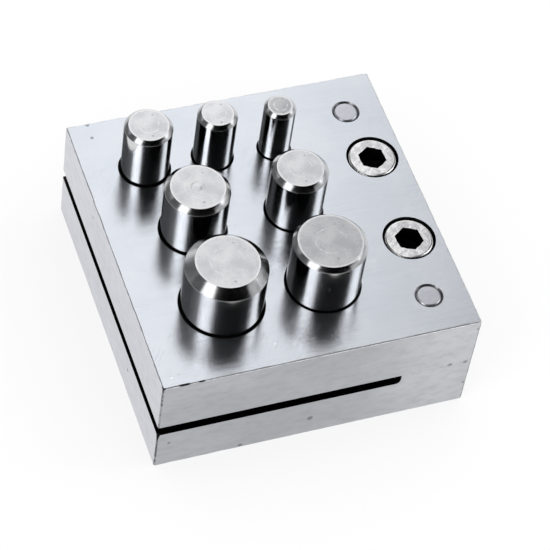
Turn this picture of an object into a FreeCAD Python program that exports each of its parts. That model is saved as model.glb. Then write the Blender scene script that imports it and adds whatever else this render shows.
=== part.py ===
# Disc cutter: two steel blocks with a sheet slot between them, and seven loose round punches.
# Millimetres, +Z up. The origin is at the middle of the underside.
# Holes are placed as on a workshop drawing, each from the edge that it is nearest to in its row.
import FreeCAD, Part
import Sketcher
import math
import os

doc = FreeCAD.newDocument("disc_cutter")
sheet = doc.addObject("Spreadsheet::Sheet", "Sizes")

# Driving dimensions: name, value and what it measures.
SIZES = [
    ("block_width", 63.5, "left to right, both blocks"),
    ("block_depth", 65.0, "front to back, both blocks"),
    ("guide_thickness", 12.7, "upper block"),
    ("die_thickness", 12.7, "lower block"),
    ("edge_break", 0.25, "small chamfer round the outside of the blocks"),
    ("slot_gap", 2.4, "height of the sheet slot"),
    ("bridge_width", 14.5, "solid strip of the lower block that the upper one is screwed to"),
    ("slot_corner", 1.0, "corner radius that the cutter leaves in the step"),
    ("punch_length", 38.1, "all seven punches"),
    ("punch_clearance", 0.04, "gap between a punch and its bore, on the radius"),
    ("guide_mouth", 0.5, "chamfer at the mouth of a guide bore"),
    ("die_land", 4.0, "straight length of a die bore under its cutting edge"),
    ("die_relief", 0.6, "how much wider a die bore is below its land, on the radius"),
    ("screw_inset", 6.6, "right edge to both screws"),
    ("front_screw_set", 22.45, "front edge to the front screw"),
    ("rear_screw_set", 21.5, "rear edge to the rear screw"),
    ("front_screw_turn", 5.0, "how far its socket is turned, degrees"),
    ("rear_screw_turn", 2.0, "how far its socket is turned, degrees"),
    ("thread_diameter", 6.0, "outside of the screw's thread"),
    ("screw_length", 16.0, "below the head"),
    ("thread_end", 0.8, "chamfer at the end of the thread"),
    ("thread_clearance", 0.05, "gap between the thread's outside and its hole, on the radius"),
    ("shank_hole", 6.6, "clearance hole in the upper block"),
    ("head_diameter", 10.0, "cap screw head"),
    ("head_height", 6.0, "cap screw head"),
    ("head_chamfer", 0.5, "broken rim of the head"),
    ("head_sunk", 0.15, "how far the head lies below the top"),
    ("counterbore", 10.5, "diameter of the screw head's recess"),
    ("socket_flats", 5.0, "hexagon socket, across the flats"),
    ("socket_depth", 3.5, "hexagon socket"),
    ("dowel_inset", 7.8, "right edge to both dowels"),
    ("front_dowel_set", 8.35, "front edge to the front dowel"),
    ("rear_dowel_set", 9.0, "rear edge to the rear dowel"),
    ("dowel_diameter", 5.0, "dowel pin"),
    ("dowel_length", 24.0, "dowel pin, driven flush with the top"),
    ("dowel_end", 0.35, "chamfer at both ends of a dowel"),
    ("dowel_fit", 0.01, "gap between a dowel and its hole, on the radius"),
    ("dowel_mouth", 0.3, "chamfer at both ends of a dowel hole"),
]

# Punches: name, diameter, distance from the left edge, row, distance from that row's line, top chamfer.
PUNCHES = [
    ("punch_06mm", 6.35, 38.45, "rear", 14.6, 0.7),
    ("punch_08mm", 7.9375, 25.95, "rear", 13.7, 0.8),
    ("punch_10mm", 9.525, 12.1, "rear", 13.5, 0.8),
    ("punch_11mm", 11.1125, 37.15, "middle", 2.0, 1.0),
    ("punch_13mm", 12.7, 16.65, "middle", 2.1, 1.0),
    ("punch_14mm", 14.2875, 36.9, "front", 16.3, 0.85),
    ("punch_16mm", 15.875, 16.6, "front", 16.3, 1.8),
]

# The rows start at the front edge, at the middle of the depth and at the rear edge.
ROWS = {
    "front": "( 0 + %s_set )",
    "middle": "( block_depth / 2 + %s_set )",
    "rear": "( block_depth - %s_set )",
}

RIGHT_SCREWS = "( block_width - screw_inset )"
RIGHT_DOWELS = "( block_width - dowel_inset )"


def fill_sheet():
    """Write every driving dimension to a cell of its own and give the cell its name."""
    rows = [(name, value, note) for name, value, note in SIZES]
    for punch, diameter, across, row, distance, chamfer in PUNCHES:
        rows.append((punch + "_diameter", diameter, "across the punch"))
        rows.append((punch + "_across", across, "left edge to its axis"))
        rows.append((punch + "_set", distance, "line of the %s row to its axis" % row))
        rows.append((punch + "_chamfer", chamfer, "round its struck end"))
    for row, (name, value, note) in enumerate(rows, start=1):
        sheet.set("A%d" % row, name)
        sheet.set("B%d" % row, str(value))
        sheet.set("C%d" % row, note)
        sheet.setAlias("B%d" % row, name)
    doc.recompute()


def sized(expression):
    """Put the sheet's name before each size in an expression: sized("head_height + 1")."""
    words = []
    for word in expression.replace("(", " ( ").replace(")", " ) ").split():
        words.append("Sizes." + word if word[0].isalpha() else word)
    return " ".join(words)


def place(piece, x="0", y="0", z="0"):
    """Bind the place of a piece's own origin, measured from the blocks' front left bottom corner."""
    piece.setExpression(".Placement.Base.x", sized("%s - block_width / 2" % x))
    piece.setExpression(".Placement.Base.y", sized("%s - block_depth / 2" % y))
    piece.setExpression(".Placement.Base.z", sized(z))


def back_of(piece, row):
    """How far behind the front edge a hole lies, as an expression: back_of("front_screw", "front")."""
    return ROWS[row] % piece


def new_body(name):
    body = doc.addObject("PartDesign::Body", name)
    body.Label = name
    return body


def new_sketch(body, name, role, x="0", y="0", z="0"):
    """A sketch on one of the body's origin planes, moved along the body's own axes."""
    sketch = body.newObject("Sketcher::SketchObject", name)
    plane = [item for item in body.Origin.OriginFeatures if item.Role == role][0]
    sketch.AttachmentSupport = [(plane, "")]
    sketch.MapMode = "FlatFace"
    if role == "XZ_Plane":
        offsets = {"x": x, "y": z, "z": "0 - %s" % y}
    else:
        offsets = {"x": x, "y": y, "z": z}
    for axis, offset in offsets.items():
        sketch.setExpression(".AttachmentOffset.Base." + axis, sized(offset))
    doc.recompute()
    return sketch


def hold(sketch, kind, axis_line, line, expression):
    """Fix the start of a line: on the sketch's axis where the expression is 0, else at a distance."""
    if expression == "0":
        sketch.addConstraint(Sketcher.Constraint("PointOnObject", line, 1, axis_line))
        return
    value = float(sketch.evalExpression(sized(expression)))
    index = sketch.addConstraint(Sketcher.Constraint(kind, -1, 1, line, 1, value))
    sketch.setExpression("Constraints[%d]" % index, sized(expression))


def outline(sketch, corners):
    """A closed outline of straight lines. Each corner is a pair of expressions in the sheet's names."""
    points = []
    for x, y in corners:
        place_x = float(sketch.evalExpression(sized(x)))
        place_y = float(sketch.evalExpression(sized(y)))
        points.append(FreeCAD.Vector(place_x, place_y, 0))
    for start, end in zip(points, points[1:] + points[:1]):
        sketch.addGeometry(Part.LineSegment(start, end))
    count = len(points)
    for line in range(count):
        sketch.addConstraint(Sketcher.Constraint("Coincident", line, 2, (line + 1) % count, 1))
    for line, (x, y) in enumerate(corners):
        hold(sketch, "DistanceX", -2, line, x)
        hold(sketch, "DistanceY", -1, line, y)


def pad(body, name, sketch, length):
    feature = body.newObject("PartDesign::Pad", name)
    feature.Profile = sketch
    feature.setExpression("Length", sized(length))
    doc.recompute()
    return feature


def turned(body, name, corners, kind="PartDesign::Revolution", x="0", y="0"):
    """Turn a half section about an upright axis: a Revolution adds metal, a Groove bores it away."""
    sketch = new_sketch(body, name + "_section", "XZ_Plane", x=x, y=y)
    outline(sketch, corners)
    feature = body.newObject(kind, name)
    feature.Profile = sketch
    feature.ReferenceAxis = (sketch, ["V_Axis"])
    feature.Angle = 360
    doc.recompute()
    return feature


def edges_where(shape, test):
    return ["Edge%d" % number for number, edge in enumerate(shape.Edges, start=1) if test(edge)]


def dress(body, kind, name, base, edges, prop, size):
    """A chamfer or a fillet on the named edges of a feature."""
    feature = body.newObject(kind, name)
    feature.Base = (base, edges)
    feature.setExpression(prop, sized(size))
    doc.recompute()
    return feature


def plain_block(body, thickness, outer_face):
    """A ground plate with its corners and the edges of its outer face broken."""
    sketch = new_sketch(body, body.Name + "_plan", "XY_Plane")
    outline(sketch, [("0", "0"), ("block_width", "0"), ("block_width", "block_depth"), ("0", "block_depth")])
    plate = pad(body, body.Name + "_plate", sketch, thickness)
    height = float(body.evalExpression(sized(outer_face)))

    def outside(edge):
        low, high = edge.BoundBox.ZMin, edge.BoundBox.ZMax
        upright = high - low > 1
        on_outer_face = abs(low - height) < 1e-6 and abs(high - height) < 1e-6
        return upright or on_outer_face

    edges = edges_where(plate.Shape, outside)
    return dress(body, "PartDesign::Chamfer", body.Name + "_edges", plate, edges, "Size", "edge_break")


def make_guide_block():
    """Upper block: seven reamed guide bores, counterbored holes for the screws, holes for the dowels."""
    body = new_body("guide_block")
    plain_block(body, "guide_thickness", "guide_thickness")
    top = "guide_thickness"
    for punch, _, _, row, _, _ in PUNCHES:
        bore = "( %s_diameter / 2 + punch_clearance )" % punch
        turned(body, "guide_" + punch, [
            ("0", "0"),
            (bore, "0"),
            (bore, "%s - guide_mouth" % top),
            ("%s + guide_mouth" % bore, top),
            ("0", top),
        ], "PartDesign::Groove", punch + "_across", back_of(punch, row))
    floor = "%s - head_sunk - head_height" % top
    for end in ("front", "rear"):
        turned(body, end + "_screw_hole", [
            ("0", "0"),
            ("shank_hole / 2", "0"),
            ("shank_hole / 2", floor),
            ("counterbore / 2", floor),
            ("counterbore / 2", top),
            ("0", top),
        ], "PartDesign::Groove", RIGHT_SCREWS, back_of(end + "_screw", end))
        pin = "( dowel_diameter / 2 + dowel_fit )"
        turned(body, end + "_dowel_hole", [
            ("0", "0"),
            (pin, "0"),
            (pin, "%s - dowel_mouth" % top),
            ("%s + dowel_mouth" % pin, top),
            ("0", top),
        ], "PartDesign::Groove", RIGHT_DOWELS, back_of(end + "_dowel", end))
    place(body, z="die_thickness")
    return body


def make_die_block():
    """Lower block: a step milled in its top for the sheet, and bores that open out below a short land."""
    body = new_body("die_block")
    plain_block(body, "die_thickness", "0")
    top = "die_thickness"
    step_floor = "( die_thickness - slot_gap )"
    step_wall = "( block_width - bridge_width )"
    sketch = new_sketch(body, "step_section", "XZ_Plane")
    outline(sketch, [
        ("0 - slot_gap", step_floor),
        (step_wall, step_floor),
        (step_wall, "%s + slot_gap" % top),
        ("0 - slot_gap", "%s + slot_gap" % top),
    ])
    step = body.newObject("PartDesign::Pocket", "sheet_step")
    step.Profile = sketch
    step.Type = "ThroughAll"
    doc.recompute()
    wall_x = float(body.evalExpression(sized(step_wall)))
    floor_z = float(body.evalExpression(sized(step_floor)))

    def inner_corner(edge):
        middle = edge.BoundBox.Center
        return abs(middle.x - wall_x) < 1e-6 and abs(middle.z - floor_z) < 1e-6

    corner = edges_where(step.Shape, inner_corner)
    dress(body, "PartDesign::Fillet", "step_corner", step, corner, "Radius", "slot_corner")
    for punch, _, _, row, _, _ in PUNCHES:
        bore = "( %s_diameter / 2 + punch_clearance )" % punch
        turned(body, "die_" + punch, [
            ("0", "0"),
            ("%s + die_relief" % bore, "0"),
            ("%s + die_relief" % bore, "%s - die_land - die_relief" % step_floor),
            (bore, "%s - die_land" % step_floor),
            (bore, step_floor),
            ("0", step_floor),
        ], "PartDesign::Groove", punch + "_across", back_of(punch, row))
    for end in ("front", "rear"):
        thread = "( thread_diameter / 2 + thread_clearance )"
        turned(body, end + "_tapped_hole", [
            ("0", "0"),
            (thread, "0"),
            (thread, top),
            ("0", top),
        ], "PartDesign::Groove", RIGHT_SCREWS, back_of(end + "_screw", end))
        pin = "( dowel_diameter / 2 + dowel_fit )"
        turned(body, end + "_dowel_hole", [
            ("0", "0"),
            ("%s + dowel_mouth" % pin, "0"),
            (pin, "dowel_mouth"),
            (pin, top),
            ("0", top),
        ], "PartDesign::Groove", RIGHT_DOWELS, back_of(end + "_dowel", end))
    place(body)
    return body


def make_punch(punch, row):
    """A turned punch that stands in its bore: sharp cutting end below, chamfered struck end above."""
    body = new_body(punch)
    radius = "%s_diameter / 2" % punch
    chamfer = "%s_chamfer" % punch
    turned(body, punch + "_turning", [
        ("0", "0"),
        (radius, "0"),
        (radius, "punch_length - %s" % chamfer),
        ("%s - %s" % (radius, chamfer), "punch_length"),
        ("0", "punch_length"),
    ])
    place(body, punch + "_across", back_of(punch, row))
    return body


def make_cap_screw(end):
    """A socket head cap screw, turned about its own axis with the seat of its head at zero."""
    body = new_body("cap_screw_" + end)
    turned(body, end + "_screw_turning", [
        ("0", "0 - screw_length"),
        ("thread_diameter / 2 - thread_end", "0 - screw_length"),
        ("thread_diameter / 2", "thread_end - screw_length"),
        ("thread_diameter / 2", "0"),
        ("head_diameter / 2", "0"),
        ("head_diameter / 2", "head_height - head_chamfer"),
        ("head_diameter / 2 - head_chamfer", "head_height"),
        ("0", "head_height"),
    ])
    sketch = new_sketch(body, end + "_socket_plan", "XY_Plane", z="head_height")
    add_hexagon(sketch, "socket_flats / 2")
    socket = body.newObject("PartDesign::Pocket", end + "_socket")
    socket.Profile = sketch
    socket.setExpression("Length", sized("socket_depth"))
    doc.recompute()
    seat = "die_thickness + guide_thickness - head_sunk - head_height"
    place(body, RIGHT_SCREWS, back_of(end + "_screw", end), seat)
    body.Placement.Rotation = FreeCAD.Rotation(FreeCAD.Vector(0, 0, 1), 0)
    body.setExpression(".Placement.Rotation.Angle", sized("%s_screw_turn" % end) + " * 1 deg")
    return body


def add_hexagon(sketch, half_flats):
    """A regular hexagon about the sketch's origin with a corner on its upright axis."""
    reach = float(sketch.evalExpression(sized(half_flats))) / math.cos(math.pi / 6)
    corners = []
    for index in range(6):
        angle = math.pi / 2 + index * math.pi / 3
        corners.append(FreeCAD.Vector(reach * math.cos(angle), reach * math.sin(angle), 0))
    for start, end in zip(corners, corners[1:] + corners[:1]):
        sketch.addGeometry(Part.LineSegment(start, end))
    circle = sketch.addGeometry(Part.Circle(FreeCAD.Vector(0, 0, 0), FreeCAD.Vector(0, 0, 1), reach), True)
    for side in range(6):
        sketch.addConstraint(Sketcher.Constraint("Coincident", side, 2, (side + 1) % 6, 1))
        sketch.addConstraint(Sketcher.Constraint("PointOnObject", side, 1, circle))
    for side in range(5):
        sketch.addConstraint(Sketcher.Constraint("Equal", side, side + 1))
    sketch.addConstraint(Sketcher.Constraint("Coincident", circle, 3, -1, 1))
    sketch.addConstraint(Sketcher.Constraint("PointOnObject", 0, 1, -2))
    index = sketch.addConstraint(Sketcher.Constraint("Radius", circle, reach))
    sketch.setExpression("Constraints[%d]" % index, sized(half_flats) + " / cos(30 deg)")


def make_dowel(end):
    """A ground dowel pin with chamfered ends, driven in until it is flush with the top."""
    body = new_body("dowel_" + end)
    turned(body, end + "_dowel_turning", [
        ("0", "0"),
        ("dowel_diameter / 2 - dowel_end", "0"),
        ("dowel_diameter / 2", "dowel_end"),
        ("dowel_diameter / 2", "dowel_length - dowel_end"),
        ("dowel_diameter / 2 - dowel_end", "dowel_length"),
        ("0", "dowel_length"),
    ])
    place(body, RIGHT_DOWELS, back_of(end + "_dowel", end), "die_thickness + guide_thickness - dowel_length")
    return body


def check(pieces):
    """Stop if any object of the document failed, or if a piece isn't one sound solid."""
    doc.recompute()
    for item in doc.Objects:
        if "Invalid" in item.State or "Error" in item.State:
            raise RuntimeError("%s failed: %s" % (item.Name, item.State))
    for piece in pieces:
        shape = piece.Shape
        if shape.isNull() or not shape.isValid() or len(shape.Solids) != 1:
            raise RuntimeError("%s is not one sound solid" % piece.Label)


fill_sheet()
parts = [make_guide_block(), make_die_block()]
parts += [make_punch(punch, row) for punch, _, _, row, _, _ in PUNCHES]
parts += [make_cap_screw(end) for end in ("front", "rear")]
parts += [make_dowel(end) for end in ("front", "rear")]
check(parts)
os.makedirs("parts", exist_ok=True)
for part in parts:
    part.Shape.exportStep("parts/%s.step" % part.Label)
    box = part.Shape.BoundBox
    print("%-16s volume %9.1f  z %6.2f to %6.2f" % (part.Label, part.Shape.Volume, box.ZMin, box.ZMax))
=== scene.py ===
import math

import bmesh
import bpy
from mathutils import Matrix, Vector, noise


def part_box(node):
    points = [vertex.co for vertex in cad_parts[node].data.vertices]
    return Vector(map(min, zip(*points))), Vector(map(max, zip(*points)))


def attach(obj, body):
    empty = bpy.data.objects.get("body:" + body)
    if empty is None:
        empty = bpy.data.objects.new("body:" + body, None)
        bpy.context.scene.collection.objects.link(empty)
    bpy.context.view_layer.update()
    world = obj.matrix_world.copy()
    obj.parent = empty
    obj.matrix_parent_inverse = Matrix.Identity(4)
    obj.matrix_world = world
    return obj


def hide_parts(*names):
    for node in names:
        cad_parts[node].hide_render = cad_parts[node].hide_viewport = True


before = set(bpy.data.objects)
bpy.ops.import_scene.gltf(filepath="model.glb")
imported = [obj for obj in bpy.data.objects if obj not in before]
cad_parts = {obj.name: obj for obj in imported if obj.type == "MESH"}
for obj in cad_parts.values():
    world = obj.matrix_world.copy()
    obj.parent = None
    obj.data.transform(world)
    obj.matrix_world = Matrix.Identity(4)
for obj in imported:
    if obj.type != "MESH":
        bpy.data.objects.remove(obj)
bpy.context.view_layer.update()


# The studio: a white table, seen from the front left and from 52 degrees above it, with a large soft
# lamp at the left and a smaller one at the right. Cards round it are seen only in reflections and give
# the punches their black and white bands. A reflection of a reflection is left black, as in the photograph.
class Level:
    """An output of a shader node. Sums are written with it as with a number."""

    def __init__(self, finish, socket):
        self.finish = finish
        self.socket = socket

    def reckon(self, operation, first, second):
        return self.finish.node("Math", {"operation": operation}, {0: first, 1: second})

    def __add__(self, other):
        return self.reckon("ADD", self, other)

    def __sub__(self, other):
        return self.reckon("SUBTRACT", self, other)

    def __rsub__(self, other):
        return self.reckon("SUBTRACT", other, self)

    def __mul__(self, other):
        return self.reckon("MULTIPLY", self, other)

    def __truediv__(self, other):
        return self.reckon("DIVIDE", self, other)

    def __rtruediv__(self, other):
        return self.reckon("DIVIDE", other, self)

    def __abs__(self):
        return self.reckon("ABSOLUTE", self, 0)

    __radd__ = __add__
    __rmul__ = __mul__

    def other(self, name):
        """Another output of the same node, by its name or its number."""
        return Level(self.finish, self.socket.node.outputs[name])


class Finish:
    """A surface finish: a material, and one method that adds any node to it."""

    def __init__(self, name):
        self.material = bpy.data.materials.new(name)
        self.material.use_nodes = True
        self.tree = self.material.node_tree
        self.tree.nodes.clear()

    def node(self, kind, settings, inputs):
        """Add a node: its settings first, then the values and links of its sockets."""
        made = self.tree.nodes.new("ShaderNode" + kind)
        for name, value in settings.items():
            setattr(made, name, value)
        for name, value in inputs.items():
            if isinstance(value, Level):
                self.tree.links.new(value.socket, made.inputs[name])
            else:
                made.inputs[name].default_value = value
        return Level(self, made.outputs[0] if made.outputs else None)

    def wear(self, shader):
        """Put a shader on the material's output."""
        self.node("OutputMaterial", {}, {"Surface": shader})
        return self.material


TOWARDS_CAMERA = -116.4

stand = Vector((-0.1396, -0.28712, 0.41504))
aim = Vector((0.00124, -0.00337, 0.0127))
camera = bpy.data.objects.new("camera", bpy.data.cameras.new("camera"))
camera.data.lens = 170.65
camera.data.sensor_width = 36
camera.data.clip_start = 0.01
camera_roll = Matrix.Rotation(math.radians(9.83), 3, "Z")
camera.location = stand
camera.rotation_euler = ((aim - stand).to_track_quat("-Z", "Y").to_matrix() @ camera_roll).to_euler()
bpy.context.scene.collection.objects.link(camera)
bpy.context.scene.camera = camera
bpy.context.scene.view_settings.view_transform = "Standard"
bpy.context.scene.cycles.glossy_bounces = 1


def around(turn, height, distance):
    """A place in the studio: its turn from the camera's side in degrees, and its height in degrees."""
    across = math.radians(TOWARDS_CAMERA + turn)
    up = math.radians(height)
    level = math.cos(up) * distance
    return Vector((math.cos(across) * level, math.sin(across) * level, math.sin(up) * distance))


def soft_lamp(name, turn, height, width, tall, brightness):
    """A soft box that faces the cutter. Its brightness is that of its cloth, where 1 is white."""
    distance = 0.9
    light = bpy.data.lights.new(name, "AREA")
    light.shape = "RECTANGLE"
    light.size = width
    light.size_y = tall
    light.energy = brightness * math.pi * width * tall
    lamp = bpy.data.objects.new(name, light)
    lamp.location = around(turn, height, distance)
    lamp.rotation_euler = (-lamp.location).to_track_quat("-Z", "Y").to_euler()
    bpy.context.scene.collection.objects.link(lamp)


soft_lamp("left_lamp", -36, 39, 0.40, 0.50, 2.3)
soft_lamp("right_lamp", 109, 40, 0.40, 0.66, 1.5)

world = bpy.data.worlds.new("studio")
world.use_nodes = True
world.node_tree.nodes["Background"].inputs["Color"].default_value = (1, 1, 1, 1)
world.node_tree.nodes["Background"].inputs["Strength"].default_value = 1
world.cycles.sampling_method = "NONE"
bpy.context.scene.world = world

PAPER_GLOW = 0.7
paper = Finish("white_table")
ray = paper.node("LightPath", {}, {})
paper_lit = paper.node("BsdfDiffuse", {}, {"Color": (0.8, 0.8, 0.8, 1)})
paper_white = paper.node("Emission", {}, {"Color": (1, 1, 1, 1), "Strength": 1.05})
seen = ray.other("Is Camera Ray") + ray.other("Is Glossy Ray") + ray.other("Is Transmission Ray")
bpy.ops.object.select_all(action="DESELECT")
bpy.ops.mesh.primitive_plane_add(size=12, location=(0, 0, -0.00002))
table = bpy.context.object
table.name = "table"
paper_mix = paper.node("MixShader", {}, {0: seen * PAPER_GLOW, 1: paper_lit, 2: paper_white})
table.data.materials.append(paper.wear(paper_mix))


def start_editing(piece):
    bpy.context.view_layer.objects.active = piece
    bpy.ops.object.mode_set(mode="EDIT")
    bpy.ops.mesh.select_all(action="DESELECT")


def stop_editing():
    bpy.ops.object.mode_set(mode="OBJECT")


def pick(piece, kind, test):
    """In edit mode, select the vertices, edges or faces of a piece that pass a test, and no others."""
    bpy.context.tool_settings.mesh_select_mode = [kind == name for name in ("verts", "edges", "faces")]
    mesh = bmesh.from_edit_mesh(piece.data)
    for face in mesh.faces:
        face.select = False
    for edge in mesh.edges:
        edge.select = False
    for point in mesh.verts:
        point.select = False
    for item in getattr(mesh, kind):
        if test(item):
            item.select = True
    mesh.select_flush_mode()
    bmesh.update_edit_mesh(piece.data)


def card(name, turns, heights, brightness, radius=1.4):
    """A curved card far from the cutter, seen in reflections and by nothing else."""
    middle = (turns[0] + turns[1]) / 2
    spread = (turns[1] - turns[0]) / 2

    def off_the_card(face):
        place = face.calc_center_median()
        turn = math.degrees(math.atan2(place.y, place.x)) - TOWARDS_CAMERA - middle
        turn = (turn + 180) % 360 - 180
        height = math.degrees(math.asin(place.z / place.length))
        return abs(turn) > spread or not heights[0] < height < heights[1]

    bpy.ops.object.select_all(action="DESELECT")
    bpy.ops.mesh.primitive_uv_sphere_add(segments=120, ring_count=60, radius=radius)
    sheet = bpy.context.object
    sheet.name = name
    start_editing(sheet)
    pick(sheet, "faces", off_the_card)
    bpy.ops.mesh.delete(type="FACE")
    stop_editing()
    board = Finish(name)
    grey = (brightness, brightness, brightness, 1)
    sheet.data.materials.append(board.wear(board.node("Emission", {}, {"Color": grey})))
    sheet.visible_camera = False
    sheet.visible_diffuse = False
    sheet.visible_shadow = False
    sheet.visible_transmission = False


# The name of each card, its turns from the camera's side, its heights in degrees and its brightness.
card("black_card", (-36, 104), (30, 78), 0.0)
card("lamp_edge_card", (-86, -36), (24, 72), 0.15)
card("dark_card", (-156, -86), (36, 72), 0.07)
card("left_card", (-156, -86), (24, 36), 0.8)
card("side_card", (104, 164), (36, 72), 0.05)
card("half_card", (164, 176), (20, 72), 0.7)
card("plate_card", (176, 204), (20, 72), 1.04)
card("front_card", (-6, 68), (22, 30), 0.0)
card("low_front_card", (-36, 68), (3, 30), 0.45, 1.5)
card("low_right_card", (68, 126), (3, 27), 0.7, 1.3)
card("low_back_card", (104, 164), (3, 36), 0.6)
card("low_left_card", (-156, -36), (1, 24), 0.2)


# The die block: the lower half of the cutter, a plate of tool steel ground on its large faces and
# milled on its sides. A step milled in its top makes the slot for the sheet metal. Its seven die
# bores are wider below a short land, so that the cut discs drop out.
def millimetres(finish, centre=(0, 0, 0)):
    """Where a point of the surface lies, in millimetres from the centre of the piece."""
    return finish.node("Mapping", {"vector_type": "TEXTURE"}, {
        "Vector": finish.node("TexCoord", {}, {}).other("Object"),
        "Location": centre,
        "Scale": (0.001, 0.001, 0.001),
    })


def patches(finish, place, across, stretch=(1, 1, 1), detail=3, apart=0):
    """Cloudy patches, so many millimetres across and drawn out by a stretch. 0.5 is their mean."""
    shifted = finish.node("Mapping", {}, {
        "Vector": place,
        "Location": (apart, apart * 1.7, apart * 0.6),
        "Scale": [1 / (across * part) for part in stretch],
    })
    return finish.node("TexNoise", {}, {"Vector": shifted, "Scale": 1, "Detail": detail, "Roughness": 0.55})


def rises(finish, level, start, end):
    """0 at the start, 1 at the end, and smooth between them."""
    return finish.node("MapRange", {"interpolation_type": "SMOOTHSTEP"}, {
        "Value": level, "From Min": start, "From Max": end})


def mixed(finish, share, first, second):
    """A colour between two others."""
    return finish.node("Mix", {"data_type": "RGBA"}, {0: share, 6: first, 7: second}).other(2)


def scratches(finish, place, turn, apart):
    """Sparse hairlines, some millimetres long. 1 on a line and 0 off it."""
    turned = finish.node("Mapping", {}, {"Vector": place, "Rotation": (0, 0, math.radians(turn))})
    line = rises(finish, abs(patches(finish, turned, 1.2, (16, 1, 1), 1, apart) - 0.5), 0.008, 0.002)
    return line * rises(finish, patches(finish, place, 8, apart=apart + 5), 0.55, 0.62)


def specks(finish, place, spacing, radius, share):
    """Small round pits: one to a cell of the spacing, in a share of the cells."""
    cells = finish.node("TexVoronoi", {}, {"Vector": place, "Scale": 1 / spacing})
    chosen = finish.node("SeparateColor", {}, {"Color": cells.other("Color")})
    in_pit = rises(finish, cells * spacing, radius * 1.3, radius * 0.7)
    return in_pit * rises(finish, chosen, 1 - share, 1.01 - share)


def spots(finish, place, marks):
    """Single marks with ragged edges. Each has its place in millimetres and its size across."""
    ragged = patches(finish, place, 0.5) * 0.6 + 0.7
    total = 0
    for x, y, z, across in marks:
        gap = finish.node("VectorMath", {"operation": "DISTANCE"}, {0: place, 1: (x, y, z)}).other("Value")
        total = total + rises(finish, gap * ragged, across * 0.6, across * 0.25)
    return total


def metal(finish, colour, roughness, height, depth):
    """Bare metal, with a relief whose height from 0 to 1 stands for a depth in metres."""
    relief = finish.node("Bump", {}, {"Height": height, "Distance": depth, "Strength": 1.0})
    return finish.wear(finish.node("BsdfPrincipled", {}, {
        "Base Color": colour, "Metallic": 1.0, "Roughness": roughness, "Normal": relief}))


def ground_face():
    """Surface-ground steel: pale and bluish, with fine lines along its width, a few hairlines and stains."""
    finish = Finish("ground_face")
    place = millimetres(finish)
    clouds = rises(finish, patches(finish, place, 15, detail=4), 0.32, 0.68)
    lines = patches(finish, place, 0.1, (240, 1, 1), 1)
    hairs = scratches(finish, place, 24, 1) + scratches(finish, place, -52, 9)
    pits = specks(finish, place, 2.3, 0.09, 0.2)
    stains = spots(finish, place, [
        (-27.5, 32.1, 25.4, 0.9), (-27.5, 28.7, 25.4, 0.8), (2.9, -28.6, 25.4, 0.9)])
    bright = spots(finish, place, [
        (-29.5, -30.4, 25.4, 0.55), (-17.9, -29.1, 25.4, 0.5), (-8.4, -27.7, 25.4, 0.4)])
    colour = mixed(finish, clouds, (0.735, 0.775, 0.84, 1), (0.81, 0.845, 0.905, 1))
    colour = mixed(finish, rises(finish, lines, 0.4, 0.75) * 0.08, colour, (0.5, 0.52, 0.57, 1))
    colour = mixed(finish, pits * 0.35 + stains * 0.6, colour, (0.2, 0.22, 0.27, 1))
    colour = mixed(finish, bright + hairs * 0.15, colour, (0.98, 0.98, 1, 1))
    roughness = 0.16 + clouds * 0.05 + stains * 0.1
    return metal(finish, colour, roughness, lines + hairs * -0.25 + pits * -0.6, 0.000012)


def milled_side(name, dark, pale, painted_light_span, marks):
    """A milled side: mottled, with cutter lines along its length and a few dull marks. Its colour also goes
    from dark to pale along x over the given span, which is painted shade and painted light.
    """
    finish = Finish(name)
    place = millimetres(finish)
    clouds = rises(finish, patches(finish, place, 11, (1.6, 1.6, 0.8), 4, 2), 0.34, 0.66)
    mottle = patches(finish, place, 1.6, (1.8, 1.8, 0.8), 4, 6)
    lines = patches(finish, place, 0.22, (90, 90, 1), 2)
    pits = specks(finish, place, 1.7, 0.11, 0.22)
    stains = spots(finish, place, marks)
    x = finish.node("SeparateXYZ", {}, {"Vector": place})
    # Painted shade and light: the colour goes from dark to pale along x over the given span.
    colour = mixed(finish, rises(finish, x, *painted_light_span) * 0.65 + clouds * 0.35, (*dark, 1), (*pale, 1))
    darker = [part * 0.7 for part in dark]
    colour = mixed(finish, rises(finish, mottle, 0.42, 0.7) * 0.22, colour, (*darker, 1))
    colour = mixed(finish, pits * 0.4 + stains * 0.6, colour, (0.1, 0.105, 0.11, 1))
    roughness = 0.36 + mottle * 0.12 + stains * 0.1
    return metal(finish, colour, roughness, lines * 0.7 + mottle * 0.8 - pits, 0.000004)


def broken_edge(name, bright, wear_and_painted_rim_highlight):
    """An edge was broken with a file, so it is bright in places and dull in others. Three dark marks on the
    front top edge near the left corner are a painted dark reflection.
    """
    finish = Finish(name)
    place = millimetres(finish)
    dull = rises(finish, patches(finish, place, 1.3, detail=2), 0.4, 0.6)
    filed = patches(finish, place, 0.12, (1, 1, 1), 1, 4)
    # Painted reflection: three dark marks on the front top edge near the left corner stand in for a dark
    # reflection.
    dark = spots(finish, place, [
        (-27.5, -32.5, 25.3, 2.4), (-24.2, -32.5, 25.3, 1.4), (-31.7, -32.4, 25.3, 1.2)])
    colour = mixed(finish, dull, (*bright, 1), (*wear_and_painted_rim_highlight, 1))
    colour = mixed(finish, dark, colour, (0.05, 0.05, 0.055, 1))
    return metal(finish, colour, 0.3 + dull * 0.15, filed, 0.000003)


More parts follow.
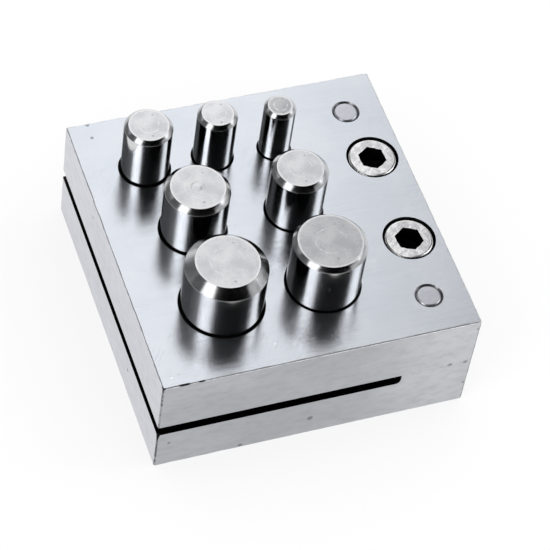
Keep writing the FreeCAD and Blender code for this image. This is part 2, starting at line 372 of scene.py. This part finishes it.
def painted_shade_wall(name, shade, pitch):
    """The wall of a bore or of the slot: painted nearly black as the shade inside the recess, lighter in
    patches, and ringed by the tool at a pitch in millimetres.
    """
    finish = Finish(name)
    place = millimetres(finish)
    shade_patches = rises(finish, patches(finish, place, 2.5, (1, 1, 1.6), 4), 0.4, 0.65)
    height = finish.node("SeparateXYZ", {}, {"Vector": place}).other("Z")
    wave = finish.node("Math", {"operation": "PINGPONG"}, {0: height, 1: pitch / 2}) / (pitch / 2)
    colour = mixed(finish, shade_patches, (shade, shade, shade, 1), (shade * 2.4, shade * 2.3, shade * 2.1, 1))
    return metal(finish, colour, 0.34 + shade_patches * 0.2, wave, pitch * 0.0003)


ground = ground_face()
# Painted shade and light: the front and back faces take a darker copy of the milled finish and the ends a
# paler one.
front_side_painted_shade = milled_side("milled_front_and_back_painted_shade", (0.44, 0.45, 0.475), (0.60, 0.61, 0.64), (2, 26), [
    (-29.2, -32.5, 7.0, 0.7), (-14.4, -32.5, 0.8, 1.0), (-0.6, -32.5, 4.9, 1.3), (31.2, -32.5, 23.2, 0.6),
    (31.2, -32.5, 5.8, 0.6), (27.2, -32.5, 12.9, 1.1), (30.4, -32.5, 12.8, 1.0)])
end_side_painted_light = milled_side("milled_ends_painted_light", (0.68, 0.685, 0.73), (0.75, 0.755, 0.80), (-60, 60), [
    (-31.75, -14.0, 6.4, 0.8), (-31.75, 12.5, 21.3, 0.7), (31.75, 4.0, 8.0, 1.0), (31.75, -20.0, 19.0, 0.8)])
edge_finish = broken_edge("broken_edge", (0.88, 0.89, 0.92), (0.66, 0.67, 0.70))
# Painted shade: the same edge finish in dark greys, on the rounded vertical corners of the blocks and in the
# mouths of the guide block's dowel holes.
corner_painted_shade = broken_edge("painted_shade_corner", (0.34, 0.345, 0.36), (0.14, 0.14, 0.15))
# Painted shade: the walls of the bores, the slot and the tapped holes are nearly black, as shade falls inside
# them.
bore_wall_painted_shade = painted_shade_wall("painted_shade_wall", 0.012, 0.3)
slot_wall_painted_shade = painted_shade_wall("painted_shade_slot", 0.008, 0.4)
tapped_wall_painted_shade = painted_shade_wall("tapped_wall_painted_shade", 0.03, 1.0)
BLOCK_FINISHES = (
    (edge_finish, lambda face: True),
    # Painted shade on the rounded vertical corners.
    (corner_painted_shade, lambda face: abs(face.normal.z) < 0.2),
    (front_side_painted_shade, lambda face: abs(face.normal.y) > 0.98),
    (end_side_painted_light, lambda face: abs(face.normal.x) > 0.98),
    (ground, lambda face: abs(face.normal.z) > 0.98),
)


def finish_with(piece, kind, **settings):
    """Add a modifier to a piece and apply it."""
    bpy.ops.object.select_all(action="DESELECT")
    piece.select_set(True)
    bpy.context.view_layer.objects.active = piece
    modifier = piece.modifiers.new(kind, kind)
    for name, value in settings.items():
        setattr(modifier, name, value)
    bpy.ops.object.modifier_apply(modifier=modifier.name)


EDGE_PIECES = 60
LONG_EDGE = 0.01
CORNER_ROUND = 0.0003
CLOSE = 0.000001


def plate(name, low, high, lower_break, upper_break):
    """A plate: its outline with rounded corners is drawn up to its thickness and its edges are broken."""
    size = high - low
    bpy.ops.object.select_all(action="DESELECT")
    bpy.ops.mesh.primitive_plane_add(size=1, location=((low.x + high.x) / 2, (low.y + high.y) / 2, low.z))
    piece = bpy.context.object
    piece.name = name
    piece.scale = (size.x, size.y, 1)
    bpy.ops.object.transform_apply(location=True, rotation=True, scale=True)
    start_editing(piece)
    bpy.ops.mesh.select_all(action="SELECT")
    bpy.ops.mesh.bevel(offset=CORNER_ROUND, offset_pct=0, affect="VERTICES", segments=3)
    pick(piece, "edges", lambda edge: edge.calc_length() > LONG_EDGE)
    bpy.ops.mesh.subdivide(number_cuts=EDGE_PIECES)
    bpy.ops.mesh.select_all(action="SELECT")
    bpy.ops.mesh.extrude_region_move(TRANSFORM_OT_translate={"value": (0, 0, size.z)})
    for height, width in ((low.z, lower_break), (high.z, upper_break)):
        pick(piece, "edges", lambda edge: all(abs(point.co.z - height) < CLOSE for point in edge.verts))
        bpy.ops.mesh.bevel(offset=width, affect="EDGES", segments=3)
    bpy.ops.mesh.select_all(action="SELECT")
    bpy.ops.mesh.normals_make_consistent(inside=False)
    stop_editing()
    roughen_edges(piece, low, high, max(lower_break, upper_break))
    return piece


def roughen_edges(piece, low, high, width):
    """The edges were broken by hand, so the width of the break varies along them."""
    for point in piece.data.vertices:
        place = point.co
        gaps = {
            (0, 1): place.x - low.x,
            (0, -1): high.x - place.x,
            (1, 1): place.y - low.y,
            (1, -1): high.y - place.y,
        }
        (axis, inward), gap = min(gaps.items(), key=lambda pair: pair[1])
        near_corner = sorted(gaps.values())[1] < 3 * width
        from_bottom = place.z - low.z
        from_top = high.z - place.z
        drop = min(from_bottom, from_top)
        if near_corner or gap > 1.2 * width or drop > 1.2 * width:
            continue
        side = high.z if from_top < from_bottom else low.z
        along = place.y if axis == 0 else place.x
        share = 1 + 0.5 * noise.noise(Vector((along * 300, axis * 7 + inward * 3, side * 400)))
        place[axis] += inward * gap * (share - 1)
        place.z += (drop * (share - 1)) * (-1 if side == high.z else 1)


def turn_up(name, x, y, sections, sides=96):
    """Turn a round piece: a cylinder, then its top face drawn up and resized for each next section."""
    (radius, start), (next_radius, end) = sections[:2]
    axis = (x, y, 0)
    bpy.ops.object.select_all(action="DESELECT")
    bpy.ops.mesh.primitive_cylinder_add(vertices=sides, radius=radius, depth=end - start,
                                        location=(x, y, (start + end) / 2))
    piece = bpy.context.object
    piece.name = name
    bpy.ops.object.transform_apply(location=True, rotation=True, scale=True)
    start_editing(piece)
    pick(piece, "faces", lambda face: face.normal.z > 0.9)
    bpy.ops.transform.resize(value=(next_radius / radius, next_radius / radius, 1), center_override=axis)
    radius, height = next_radius, end
    for next_radius, next_height in sections[2:]:
        bpy.ops.mesh.extrude_region_move(TRANSFORM_OT_translate={"value": (0, 0, next_height - height)})
        share = next_radius / radius
        bpy.ops.transform.resize(value=(share, share, 1), center_override=axis)
        radius, height = next_radius, next_height
    stop_editing()
    return piece


def paint(piece, *finishes):
    """Give a piece its finishes. Each is a material and a test of the faces that it is on."""
    piece.data.materials.clear()
    for material, _ in finishes:
        piece.data.materials.append(material)
    for face in piece.data.polygons:
        for number, (_, test) in enumerate(finishes):
            if test(face):
                face.material_index = number


def cut_away(piece, tools):
    """Cut the volume of all the tools from a piece."""
    bpy.ops.object.select_all(action="DESELECT")
    for tool in tools:
        tool.select_set(True)
    bpy.context.view_layer.objects.active = tools[0]
    if len(tools) > 1:
        bpy.ops.object.join()
    tool = bpy.context.object
    finish_with(piece, "BOOLEAN", operation="DIFFERENCE", object=tool, solver="EXACT",
                material_mode="TRANSFER")
    bpy.data.objects.remove(tool)


def shade(piece, angle=32):
    """Smooth the curved faces and keep the flat ones flat."""
    bpy.ops.object.select_all(action="DESELECT")
    piece.select_set(True)
    bpy.context.view_layer.objects.active = piece
    bpy.ops.object.shade_smooth_by_angle(angle=math.radians(angle))
    finish_with(piece, "WEIGHTED_NORMAL", keep_sharp=True, weight=100)


SLOT_GAP = 0.0024
BRIDGE_WIDTH = 0.0145
PUNCH_CLEARANCE = 0.00004
DIE_LAND = 0.004
DIE_RELIEF = 0.0006
EDGE_BREAK = 0.00025
SEAM_BREAK = 0.00006
PAST = 0.002
MILL_REACH = 0.1
MILL_HEIGHT = 0.01
STEP_CORNER = 0.001

punches = [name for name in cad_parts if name.startswith("punch_")]


def middle_of(node):
    low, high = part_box(node)
    return (low.x + high.x) / 2, (low.y + high.y) / 2


def radius_of(node):
    low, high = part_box(node)
    return (high.x - low.x) / 2


low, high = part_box("die_block")
die_block = plate("die_block_steel", low, high, EDGE_BREAK, SEAM_BREAK)
paint(die_block, *BLOCK_FINISHES)
step_floor = high.z - SLOT_GAP
step_wall = high.x - BRIDGE_WIDTH

bpy.ops.object.select_all(action="DESELECT")
bpy.ops.mesh.primitive_cube_add(size=1, location=(
    (step_wall - MILL_REACH) / 2, 0, step_floor + MILL_HEIGHT / 2))
mill = bpy.context.object
mill.scale = (step_wall + MILL_REACH, MILL_REACH, MILL_HEIGHT)
bpy.ops.object.transform_apply(location=True, rotation=True, scale=True)
start_editing(mill)
pick(mill, "edges", lambda edge: all(
    abs(point.co.x - step_wall) < CLOSE and abs(point.co.z - step_floor) < CLOSE for point in edge.verts))
bpy.ops.mesh.bevel(offset=STEP_CORNER, affect="EDGES", segments=6)
stop_editing()
paint(mill, (slot_wall_painted_shade, lambda face: True))
cut_away(die_block, [mill])

CHIP_DEPTH = 0.0015
CHIP_ABOVE = 0.001
CHIP_TIP = 0.00015
CHIP_TOP = 0.0009
bpy.ops.object.select_all(action="DESELECT")
bpy.ops.mesh.primitive_cone_add(vertices=7, radius1=CHIP_TIP, radius2=CHIP_TOP, depth=CHIP_DEPTH + CHIP_ABOVE,
                                location=(low.x, low.y, step_floor + (CHIP_ABOVE - CHIP_DEPTH) / 2))
chip = bpy.context.object
bpy.ops.object.transform_apply(location=True, rotation=True, scale=True)
die_tools = [chip]
for node in punches:
    x, y = middle_of(node)
    bore = radius_of(node) + PUNCH_CLEARANCE
    die_tools.append(turn_up("die_tool", x, y, [
        (bore + DIE_RELIEF, low.z - PAST),
        (bore + DIE_RELIEF, step_floor - DIE_LAND - DIE_RELIEF),
        (bore, step_floor - DIE_LAND),
        (bore, step_floor + SLOT_GAP + PAST),
    ]))
# Painted shade: the chip at the corner and the die bores take the near-black wall finish.
for tool in die_tools:
    paint(tool, (bore_wall_painted_shade, lambda face: True))
SCREW_HOLE = 0.00305
DOWEL_HOLE = 0.00251
DOWEL_MOUTH = 0.0003
for end in ("front", "rear"):
    x, y = middle_of("cap_screw_" + end)
    tap = turn_up("tap", x, y, [(SCREW_HOLE, low.z - PAST), (SCREW_HOLE, high.z + PAST)], 48)
    paint(tap, (tapped_wall_painted_shade, lambda face: True))
    x, y = middle_of("dowel_" + end)
    reamer = turn_up("reamer", x, y, [
        (DOWEL_HOLE + DOWEL_MOUTH + PAST, low.z - PAST),
        (DOWEL_HOLE, low.z + DOWEL_MOUTH),
        (DOWEL_HOLE, high.z + PAST),
    ], 48)
    paint(reamer, (bore_wall_painted_shade, lambda face: True), (edge_finish, lambda face: abs(face.normal.z) > 0.3))
    die_tools += [tap, reamer]
cut_away(die_block, die_tools)
shade(die_block)
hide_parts("die_block")
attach(die_block, "block")


# The guide block: the upper half, ground and milled like the lower one. Its reamed bores hold the
# punches upright over their dies, and each has a chamfered mouth. The screw heads lie in counterbores.
MOUTH_WIDTHS = {
    "punch_06mm": 0.00026,
    "punch_08mm": 0.00028,
    "punch_10mm": 0.00042,
    "punch_11mm": 0.0003,
    "punch_13mm": 0.0004,
    "punch_14mm": 0.0003,
    "punch_16mm": 0.0004,
}
low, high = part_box("guide_block")
guide_block = plate("guide_block_steel", low, high, SEAM_BREAK, EDGE_BREAK)
# Painted shade: the underside over the slot takes the near-black slot wall.
paint(guide_block, *BLOCK_FINISHES, (slot_wall_painted_shade, lambda face: face.normal.z < -0.98))
guide_tools = []
for node in punches:
    x, y = middle_of(node)
    bore = radius_of(node) + PUNCH_CLEARANCE
    mouth = MOUTH_WIDTHS[node]
    guide_tools.append(turn_up("guide_tool", x, y, [
        (bore, low.z - PAST),
        (bore, high.z - mouth),
        (bore + mouth + PAST, high.z + PAST),
    ]))
SHANK_HOLE = 0.0033
COUNTERBORE = 0.00525
HEAD_HEIGHT = 0.006
for end in ("front", "rear"):
    head_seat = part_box("cap_screw_" + end)[1].z - HEAD_HEIGHT
    x, y = middle_of("cap_screw_" + end)
    guide_tools.append(turn_up("counterbore_tool", x, y, [
        (SHANK_HOLE, low.z - PAST),
        (SHANK_HOLE, head_seat),
        (COUNTERBORE, head_seat),
        (COUNTERBORE, high.z + PAST),
    ]))
    x, y = middle_of("dowel_" + end)
    guide_tools.append(turn_up("reamer", x, y, [
        (DOWEL_HOLE, low.z - PAST),
        (DOWEL_HOLE, high.z - DOWEL_MOUTH),
        (DOWEL_HOLE + DOWEL_MOUTH + PAST, high.z + PAST),
    ], 48))
for tool in guide_tools:
    # Painted shade: the mouths of the punch bores and counterbores are nearly black, and those of the dowel
    # holes dark grey, for the ring of shade round each pin and screw.
    mouth_painted_shade = corner_painted_shade if tool.name.startswith("reamer") else bore_wall_painted_shade
    paint(tool, (bore_wall_painted_shade, lambda face: True), (mouth_painted_shade, lambda face: abs(face.normal.z) > 0.3))
cut_away(guide_block, guide_tools)
shade(guide_block)
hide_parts("guide_block")
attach(guide_block, "block")


# The dowels: two hardened pins, ground round their sides and driven through both blocks to line up the
# bores. They end flush with the top, where their flat ends were ground with the plate.
def turned_end(finish, place, pitch):
    """The rings that a lathe tool leaves on an end, from 0 to 1, so many millimetres apart."""
    rings = finish.node("TexWave", {"wave_type": "RINGS", "rings_direction": "Z"}, {
        "Vector": place,
        "Scale": math.pi / (10 * pitch),
        "Distortion": 0.6,
        "Detail": 2,
        "Detail Scale": 0.6,
    })
    return rings.other("Fac")


def dowel_steel(name, centre):
    finish = Finish(name)
    place = millimetres(finish, centre)
    clouds = patches(finish, place, 2.2, detail=4)
    rings = turned_end(finish, place, 0.35)
    colour = mixed(finish, rises(finish, clouds, 0.35, 0.7), (0.66, 0.685, 0.735, 1), (0.77, 0.79, 0.84, 1))
    colour = mixed(finish, specks(finish, place, 1.1, 0.08, 0.25) * 0.5, colour, (0.2, 0.2, 0.22, 1))
    return metal(finish, colour, 0.24 + clouds * 0.14 + rings * 0.03, rings * 0.5 + clouds, 0.000003)


DOWEL_CHAMFER = 0.00035
DOWEL_ROUND = 0.0001
for end in ("front", "rear"):
    low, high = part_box("dowel_" + end)
    x, y = middle_of("dowel_" + end)
    radius = radius_of("dowel_" + end)
    dowel = turn_up("dowel_pin_" + end, x, y, [
        (radius - DOWEL_CHAMFER, low.z),
        (radius, low.z + DOWEL_CHAMFER),
        (radius, high.z - DOWEL_CHAMFER),
        (radius - DOWEL_CHAMFER, high.z),
    ], 64)
    finish_with(dowel, "BEVEL", width=DOWEL_ROUND, segments=2, limit_method="ANGLE",
                angle_limit=math.radians(30))
    paint(dowel, (dowel_steel("dowel_steel_" + end, (x, y, 0)), lambda face: True))
    shade(dowel)
    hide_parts("dowel_" + end)
    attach(dowel, "block")


# The cap screws: two plated M6 socket head screws that hold the blocks together, their heads sunk just
# below the top. A head is turned with a rounded rim, its hexagon is broached, and its thread is rolled.
def plated_steel(name, centre):
    """Bright plating, dented and mottled by the tool and by handling."""
    finish = Finish(name)
    place = millimetres(finish, centre)
    clouds = patches(finish, place, 1.9, detail=3)
    dents = patches(finish, place, 0.8, detail=2, apart=3)
    pits = specks(finish, place, 0.9, 0.1, 0.3)
    colour = mixed(finish, rises(finish, clouds, 0.38, 0.62), (0.70, 0.70, 0.72, 1), (0.98, 0.98, 0.99, 1))
    colour = mixed(finish, pits * 0.35, colour, (0.2, 0.2, 0.21, 1))
    return metal(finish, colour, 0.16 + clouds * 0.12, dents + clouds * 0.5 - pits * 0.3, 0.00004)


PITCH = 0.001
THREAD_DEPTH = 0.0006
THREAD_ROWS = 8
SOCKET_FLATS = 0.005
SOCKET_DEPTH = 0.0035
DRILL_POINT = 0.0012
SOCKET_MOUTH = 0.0003
DRILL_SHARE = 0.84
DRILL_TIP = 0.02
RIM = 0.0007
SEAT_BREAK = 0.0002
THREAD_CLEARANCE = 0.00005
THREAD_END = 0.0008
THREAD_START = 0.0004
PLAIN_SHANK = 0.001
SCREW_TURNS = {"front": 5, "rear": 2}


def cut_thread(screw, x, y, low, high):
    """Move the points of the shank inwards along a helix. The thread runs out at both of its ends."""
    for point in screw.data.vertices:
        across = Vector((point.co.x - x, point.co.y - y))
        inside = min(point.co.z - low, high - point.co.z) / PITCH
        if inside <= 0 or across.length < CLOSE:
            continue
        turn = (point.co.z / PITCH - math.atan2(across.y, across.x) / math.tau) % 1
        groove = THREAD_DEPTH * min(1, inside) * min(1, 2.4 * (1 - abs(2 * turn - 1)))
        point.co.x -= across.x / across.length * groove
        point.co.y -= across.y / across.length * groove


for end in ("front", "rear"):
    low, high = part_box("cap_screw_" + end)
    x, y = middle_of("cap_screw_" + end)
    head = radius_of("cap_screw_" + end)
    seat = high.z - HEAD_HEIGHT
    shank = SCREW_HOLE - THREAD_CLEARANCE
    rows = round((seat - low.z - THREAD_END) / PITCH * THREAD_ROWS)
    thread = [(shank, low.z + THREAD_END + row * PITCH / THREAD_ROWS) for row in range(rows)]
    bends = [math.radians(degrees) for degrees in range(15, 91, 15)]
    rim = [(head - RIM + RIM * math.cos(bend), high.z - RIM + RIM * math.sin(bend)) for bend in bends]
    screw = turn_up("cap_screw_body_" + end, x, y, [
        (shank - THREAD_END, low.z),
        *thread,
        (shank, seat),
        (head - SEAT_BREAK, seat),
        (head, seat + SEAT_BREAK),
        (head, high.z - RIM),
        *rim,
    ], 64)
    cut_thread(screw, x, y, low.z + THREAD_START, seat - PLAIN_SHANK)
    plating = plated_steel("plated_steel_" + end, (x, y, 0))
    paint(screw, (plating, lambda face: True))
    # Painted shade: the socket's walls are nearly black.
    socket_painted_shade = painted_shade_wall("socket_painted_shade_" + end, 0.006, 0.5)
    corner = SOCKET_FLATS / 2 / math.cos(math.pi / 6)
    broach = turn_up("broach", x, y, [
        (corner * DRILL_TIP, high.z - SOCKET_DEPTH - DRILL_POINT),
        (corner * DRILL_SHARE, high.z - SOCKET_DEPTH),
        (corner, high.z - SOCKET_DEPTH),
        (corner, high.z + PAST),
    ], 6)
    start_editing(broach)
    bpy.ops.mesh.select_all(action="SELECT")
    bpy.ops.transform.rotate(
        value=-math.radians(SCREW_TURNS[end]), orient_axis="Z", center_override=(x, y, 0))
    stop_editing()
    paint(broach, (socket_painted_shade, lambda face: True))
    cut_away(screw, [broach])
    countersink = turn_up("countersink", x, y, [
        (corner * 0.5, high.z + SOCKET_MOUTH - corner * 0.5),
        (corner + SOCKET_MOUTH, high.z + SOCKET_MOUTH * 2),
    ], 64)
    paint(countersink, (plating, lambda face: True))
    cut_away(screw, [countersink])
    shade(screw)
    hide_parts("cap_screw_" + end)
    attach(screw, "block")


# The punches: seven hardened pins, ground and polished round their sides. The cutting end below is
# left sharp, and the end that is struck is faced on the lathe and chamfered.
def polished_side(name, centre):
    """Polished steel with the faintest of rings, a few hairlines and a thin film of oil."""
    finish = Finish(name)
    place = millimetres(finish, centre)
    film = patches(finish, place, 5, (1, 1, 1.5), 4)
    rings = patches(finish, place, 0.3, (60, 60, 1), 2)
    hairs = scratches(finish, finish.node("Mapping", {}, {"Vector": place, "Rotation": (1.4, 0.3, 0)}), 0, 2)
    colour = mixed(finish, rises(finish, film, 0.35, 0.65), (0.62, 0.62, 0.625, 1), (0.70, 0.70, 0.70, 1))
    colour = mixed(finish, rises(finish, rings, 0.45, 0.75) * 0.12, colour, (0.45, 0.45, 0.45, 1))
    roughness = 0.07 + film * 0.05 + rings * 0.03 + hairs * 0.1
    return metal(finish, colour, roughness, rings * 0.6 - hairs * 0.6, 0.0000006)


def flat(finish, place):
    """A place with its height taken out."""
    return finish.node("VectorMath", {"operation": "MULTIPLY"}, {0: place, 1: (1, 1, 0)})


def turned_chamfer(name, centre):
    """The chamfer is turned and left from the tool, so it is duller than the side."""
    finish = Finish(name)
    place = millimetres(finish, centre)
    clouds = patches(finish, place, 2.4, detail=4)
    rings = turned_end(finish, place, 0.16)
    colour = mixed(finish, rises(finish, clouds, 0.36, 0.64), (0.44, 0.445, 0.46, 1), (0.56, 0.565, 0.58, 1))
    colour = mixed(finish, rings * 0.15, colour, (0.35, 0.35, 0.36, 1))
    return metal(finish, colour, 0.13 + clouds * 0.06, rings + clouds * 1.5, 0.000003)


def faced_end(name, centre, rim, grey, marks, ring):
    """The struck end: lathe rings, dents, dull patches, a painted highlight along its rim and a part of a
    bright ring.
    """
    finish = Finish(name)
    place = millimetres(finish, centre)
    rings = turned_end(finish, place, 0.3)
    clouds = rises(finish, patches(finish, place, 5.5, detail=4), 0.34, 0.66)
    dents = patches(finish, place, 0.9, detail=3, apart=8)
    pits = specks(finish, place, 1.6, 0.1, 0.3)
    pale = (grey * 1.09, grey * 1.095, grey * 1.11, 1)
    dull = (grey * 0.76, grey * 0.77, grey * 0.81, 1)
    colour = mixed(finish, clouds, dull, pale)
    out = finish.node("VectorMath", {"operation": "LENGTH"}, {0: flat(finish, place)}).other("Value")
    # Painted highlight: the colour grows nearly white towards the rim of the end.
    wear_and_painted_rim_highlight = rises(finish, out + patches(finish, place, 1.1, apart=11) * 0.5, rim - 0.3, rim + 0.15)
    off_ring = abs(out - ring) + patches(finish, place, 0.7, apart=14) * 0.5
    kept = rises(finish, patches(finish, place, 3, apart=17), 0.44, 0.54)
    struck = rises(finish, off_ring, 0.42, 0.22) * kept
    colour = mixed(finish, wear_and_painted_rim_highlight * 0.8 + struck * 0.75, colour, (0.97, 0.97, 0.98, 1))
    dirt = rings * 0.08 + pits * 0.4 + spots(finish, place, marks) * 0.5
    colour = mixed(finish, dirt, colour, (0.2, 0.2, 0.22, 1))
    return metal(finish, colour, 0.24 + clouds * 0.08, rings * 0.35 + dents * 0.9 - pits, 0.000004)


END_GREYS = {
    "punch_06mm": 0.62,
    "punch_08mm": 0.9,
    "punch_10mm": 0.86,
    "punch_11mm": 0.84,
    "punch_13mm": 0.86,
    "punch_14mm": 0.68,
    "punch_16mm": 0.85,
}
CUTTING_BREAK = 0.00003
END_ROUND = 0.00004
RING_SHARE = 0.41
NIB_DEPTH = 0.00007
NIB_RINGS = ((0.0016, 0), (0.0013, 1), (0.0008, 1), (0.0005, 0.25))


def pick_struck_rims(punch, centre, rim, shoulder):
    """Select the level edges of the struck end that lie outside its rim and above its shoulder."""
    def on_a_rim(edge):
        places = [point.co for point in edge.verts]
        level = abs(places[0].z - places[1].z) < CLOSE
        above = all(place.z > shoulder - CLOSE for place in places)
        outside = all(math.dist(place.xy, centre) > rim - CLOSE for place in places)
        return level and above and outside

    pick(punch, "edges", on_a_rim)


for node in punches:
    low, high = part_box(node)
    x, y = middle_of(node)
    radius = radius_of(node)
    top_points = [p.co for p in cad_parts[node].data.vertices if p.co.z > high.z - 1e-5]
    chamfer = radius - max(math.hypot(p.x - x, p.y - y) for p in top_points)
    sections = [
        (radius - CUTTING_BREAK, low.z),
        (radius, low.z + CUTTING_BREAK),
        (radius, high.z - chamfer),
        (radius - chamfer, high.z),
    ]
    if node == "punch_13mm":
        sections += [(ring, high.z - NIB_DEPTH * share) for ring, share in NIB_RINGS]
    punch = turn_up(node + "_steel", x, y, sections, 128)
    start_editing(punch)
    pick_struck_rims(punch, (x, y), radius - chamfer, high.z - chamfer)
    bpy.ops.mesh.bevel(offset=END_ROUND, affect="EDGES", segments=3)
    stop_editing()
    reach = radius * 1000
    top = high.z * 1000
    marks = [(0, -reach * 0.6, top, 0.5), (reach * 0.3, reach * 0.5, top, 0.4)]
    paint(
        punch,
        (polished_side("polished_" + node, (x, y, 0)), lambda face: True),
        (turned_chamfer("chamfer_" + node, (x, y, 0)), lambda face: 0.3 < face.normal.z < 0.9),
        (faced_end("faced_" + node, (x, y, 0), (radius - chamfer) * 1000, END_GREYS[node], marks,
                   reach * RING_SHARE),
         lambda face: face.normal.z > 0.9 and face.center.z > high.z - 0.0002),
    )
    shade(punch)
    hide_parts(node)
    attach(punch, node)
